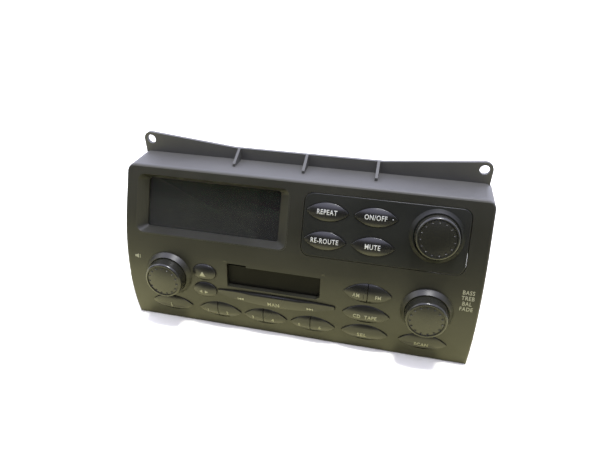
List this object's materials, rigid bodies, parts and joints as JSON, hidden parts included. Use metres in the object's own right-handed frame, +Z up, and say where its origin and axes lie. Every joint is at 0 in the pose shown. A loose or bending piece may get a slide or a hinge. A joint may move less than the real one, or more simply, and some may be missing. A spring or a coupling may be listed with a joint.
{
  "type": "car radio",
  "caption": "Wide car radio with a cassette slot, three knobs, oval push buttons, a recessed display and a screw flange on top.",
  "frame": {"origin": "on the plane it stands on, under the middle of the mounting flange's rear face", "axes": "+X to the right of a person facing the controls, +Y to the back of the radio, +Z up"},
  "size_m": [0.247, 0.1944, 0.1326],
  "materials": {
    "fascia": "fine satin moulding",
    "panel": "fine satin moulding",
    "bezel": "smooth satin moulding",
    "window": "smoked, clear",
    "display": "dark, unlit",
    "keys": "soft gloss paint",
    "knobs": "soft satin",
    "board": "green laminate",
    "key_rubber": "moulded silicone",
    "chassis": "zinc plated sheet",
    "heatsink": "black anodised",
    "connector": "glass-filled moulding",
    "plated": "nickel plated",
    "fuse": "translucent",
    "deck": "zinc plated sheet",
    "steel": "machined",
    "brass": "turned",
    "hubs": "moulded acetal",
    "roller": "ground rubber"
  },
  "bodies": {
    "case": {"front_fascia": "fascia", "display_bezel": "bezel", "display_window": "window", "display_panel": "display", "upper_board": "board", "navigation_panel": "panel", "navigation_key_mat": "key_rubber", "control_board": "board", "control_key_mat": "key_rubber", "rotary_encoders": "steel", "fascia_rear_cover": "bezel", "chassis_tray": "chassis", "chassis_cover": "chassis", "heatsink": "heatsink", "main_board": "board", "power_connector": "connector", "antenna_socket": "plated", "tuner_module": "chassis", "fuse": "fuse", "amplifier_chip": "connector", "deck_frame": "deck", "drive_belt": "roller", "deck_motor": "deck", "case_screws": "steel"},
    "repeat_button": {"repeat_button": "keys"},
    "power_button": {"power_button": "keys"},
    "reroute_button": {"reroute_button": "keys"},
    "mute_button": {"mute_button": "keys"},
    "information_button": {"information_button": "keys"},
    "source_button": {"source_button": "keys"},
    "select_button": {"select_button": "keys"},
    "scan_button": {"scan_button": "keys"},
    "eject_button": {"eject_button": "keys"},
    "direction_button": {"direction_button": "keys"},
    "preset_button_1": {"preset_button_1": "keys"},
    "preset_button_2": {"preset_button_2": "keys"},
    "preset_button_3": {"preset_button_3": "keys"},
    "preset_button_4": {"preset_button_4": "keys"},
    "preset_button_5": {"preset_button_5": "keys"},
    "preset_button_6": {"preset_button_6": "keys"},
    "am_button": {"am_button": "keys"},
    "fm_button": {"fm_button": "keys"},
    "seek_bar": {"seek_bar": "keys"},
    "volume_shaft": {"volume_shaft": "steel"},
    "volume_knob": {"volume_knob": "knobs"},
    "navigation_shaft": {"navigation_shaft": "steel"},
    "navigation_knob": {"navigation_knob": "knobs"},
    "tone_knob": {"tone_knob": "knobs", "tone_shaft": "steel"},
    "slot_door": {"slot_door": "panel"},
    "cassette_cradle": {"cassette_cradle": "deck"},
    "head_plate": {"head_plate": "deck", "tape_head": "plated"},
    "reel_hub_front": {"reel_hub_front": "hubs"},
    "capstan_front": {"capstan_front": "brass"},
    "pinch_roller_front": {"pinch_roller_front": "roller"},
    "reel_hub_rear": {"reel_hub_rear": "hubs"},
    "capstan_rear": {"capstan_rear": "brass"},
    "pinch_roller_rear": {"pinch_roller_rear": "roller"},
    "motor_pulley": {"motor_pulley": "brass"}
  },
  "joints": [
    {"name": "repeat_press", "type": "slide", "parent": "case", "child": "repeat_button", "axis": [0, 0.9259, -0.3778], "range_m": [0, 0.0012], "stiffness_N_per_m": 400},
    {"name": "power_press", "type": "slide", "parent": "case", "child": "power_button", "axis": [0, 0.9259, -0.3778], "range_m": [0, 0.0012], "stiffness_N_per_m": 400},
    {"name": "reroute_press", "type": "slide", "parent": "case", "child": "reroute_button", "axis": [0, 0.9404, -0.3401], "range_m": [0, 0.0012], "stiffness_N_per_m": 400},
    {"name": "mute_press", "type": "slide", "parent": "case", "child": "mute_button", "axis": [0, 0.9404, -0.3401], "range_m": [0, 0.0012], "stiffness_N_per_m": 400},
    {"name": "information_press", "type": "slide", "parent": "case", "child": "information_button", "axis": [0, 0.9938, 0.1109], "range_m": [0, 0.0012], "stiffness_N_per_m": 400},
    {"name": "source_press", "type": "slide", "parent": "case", "child": "source_button", "axis": [0, 1, -0.0046], "range_m": [0, 0.0012], "stiffness_N_per_m": 400},
    {"name": "select_press", "type": "slide", "parent": "case", "child": "select_button", "axis": [0, 0.9938, 0.1109], "range_m": [0, 0.0012], "stiffness_N_per_m": 400},
    {"name": "scan_press", "type": "slide", "parent": "case", "child": "scan_button", "axis": [0, 0.9938, 0.1109], "range_m": [0, 0.0012], "stiffness_N_per_m": 400},
    {"name": "eject_press", "type": "slide", "parent": "case", "child": "eject_button", "axis": [0, 0.9942, -0.1078], "range_m": [0, 0.0012], "stiffness_N_per_m": 400},
    {"name": "direction_press", "type": "slide", "parent": "case", "child": "direction_button", "axis": [0, 1, -0.008], "range_m": [0, 0.0012], "stiffness_N_per_m": 400},
    {"name": "preset_press_1", "type": "slide", "parent": "case", "child": "preset_button_1", "axis": [0, 0.9938, 0.1109], "range_m": [0, 0.0012], "stiffness_N_per_m": 400},
    {"name": "preset_press_2", "type": "slide", "parent": "case", "child": "preset_button_2", "axis": [0, 0.9938, 0.1109], "range_m": [0, 0.0012], "stiffness_N_per_m": 400},
    {"name": "preset_press_3", "type": "slide", "parent": "case", "child": "preset_button_3", "axis": [0, 0.9938, 0.1109], "range_m": [0, 0.0012], "stiffness_N_per_m": 400},
    {"name": "preset_press_4", "type": "slide", "parent": "case", "child": "preset_button_4", "axis": [0, 0.9938, 0.1109], "range_m": [0, 0.0012], "stiffness_N_per_m": 400},
    {"name": "preset_press_5", "type": "slide", "parent": "case", "child": "preset_button_5", "axis": [0, 0.9938, 0.1109], "range_m": [0, 0.0012], "stiffness_N_per_m": 400},
    {"name": "preset_press_6", "type": "slide", "parent": "case", "child": "preset_button_6", "axis": [0, 0.9938, 0.1109], "range_m": [0, 0.0012], "stiffness_N_per_m": 400},
    {"name": "am_press", "type": "slide", "parent": "case", "child": "am_button", "axis": [0, 0.9928, -0.12], "range_m": [0, 0.0012], "stiffness_N_per_m": 400},
    {"name": "fm_press", "type": "slide", "parent": "case", "child": "fm_button", "axis": [0, 0.9928, -0.12], "range_m": [0, 0.0012], "stiffness_N_per_m": 400},
    {"name": "seek_rock", "type": "hinge", "parent": "case", "child": "seek_bar", "pos_m": [-0.0116, -0.04425, 0.03548], "axis": [0, 0.0135, 0.9999], "range_deg": [-1.8, 1.8], "stiffness_Nm_per_rad": 0.3},
    {"name": "volume_turn", "type": "hinge", "parent": "case", "child": "volume_shaft", "pos_m": [-0.091, -0.0489, 0.04384], "axis": [0, -0.9975, 0.0703], "continuous": true},
    {"name": "volume_push", "type": "slide", "parent": "volume_shaft", "child": "volume_knob", "axis": [0, 0.9975, -0.0703], "range_m": [0, 0.0008], "stiffness_N_per_m": 900},
    {"name": "navigation_turn", "type": "hinge", "parent": "case", "child": "navigation_shaft", "pos_m": [0.0907, -0.03621, 0.09421], "axis": [0, -0.9259, 0.3778], "continuous": true},
    {"name": "navigation_push", "type": "slide", "parent": "navigation_shaft", "child": "navigation_knob", "axis": [0, 0.9259, -0.3778], "range_m": [0, 0.0008], "stiffness_N_per_m": 900},
    {"name": "tone_turn", "type": "hinge", "parent": "case", "child": "tone_knob", "pos_m": [0.091, -0.0489, 0.04384], "axis": [0, -0.9975, 0.0703], "continuous": true},
    {"name": "door_swing", "type": "hinge", "parent": "case", "child": "slot_door", "pos_m": [-0.0135, -0.04146, 0.05784], "axis": [1, 0, 0], "range_deg": [0, 88], "stiffness_Nm_per_rad": 0.01},
    {"name": "cradle_lower", "type": "slide", "parent": "case", "child": "cassette_cradle", "axis": [0, 0, -1], "range_m": [0, 0.0085]},
    {"name": "head_slide", "type": "slide", "parent": "case", "child": "head_plate", "axis": [-1, 0, 0], "range_m": [0, 0.007], "stiffness_N_per_m": 60},
    {"name": "reel_front_turn", "type": "hinge", "parent": "case", "child": "reel_hub_front", "pos_m": [-0.0157, 0.00875, 0.029], "axis": [0, 0, 1], "continuous": true},
    {"name": "capstan_front_turn", "type": "hinge", "parent": "case", "child": "capstan_front", "pos_m": [0.0113, -0.0035, 0.029], "axis": [0, 0, 1], "continuous": true},
    {"name": "pinch_front_turn", "type": "hinge", "parent": "head_plate", "child": "pinch_roller_front", "pos_m": [0.0261, -0.0035, 0.029], "axis": [0, 0, 1], "continuous": true},
    {"name": "reel_rear_turn", "type": "hinge", "parent": "case", "child": "reel_hub_rear", "pos_m": [-0.0157, 0.05125, 0.029], "axis": [0, 0, 1], "continuous": true},
    {"name": "capstan_rear_turn", "type": "hinge", "parent": "case", "child": "capstan_rear", "pos_m": [0.0113, 0.0635, 0.029], "axis": [0, 0, 1], "continuous": true},
    {"name": "pinch_rear_turn", "type": "hinge", "parent": "head_plate", "child": "pinch_roller_rear", "pos_m": [0.0261, 0.0635, 0.029], "axis": [0, 0, 1], "continuous": true},
    {"name": "motor_turn", "type": "hinge", "parent": "case", "child": "motor_pulley", "pos_m": [0.048, 0.03, 0.029], "axis": [0, 0, 1], "continuous": true}
  ],
  "couplings": [
    {"joint": "capstan_rear_turn", "follows": "capstan_front_turn", "ratio": 1},
    {"joint": "motor_turn", "follows": "capstan_front_turn", "ratio": 4.25}
  ]
}
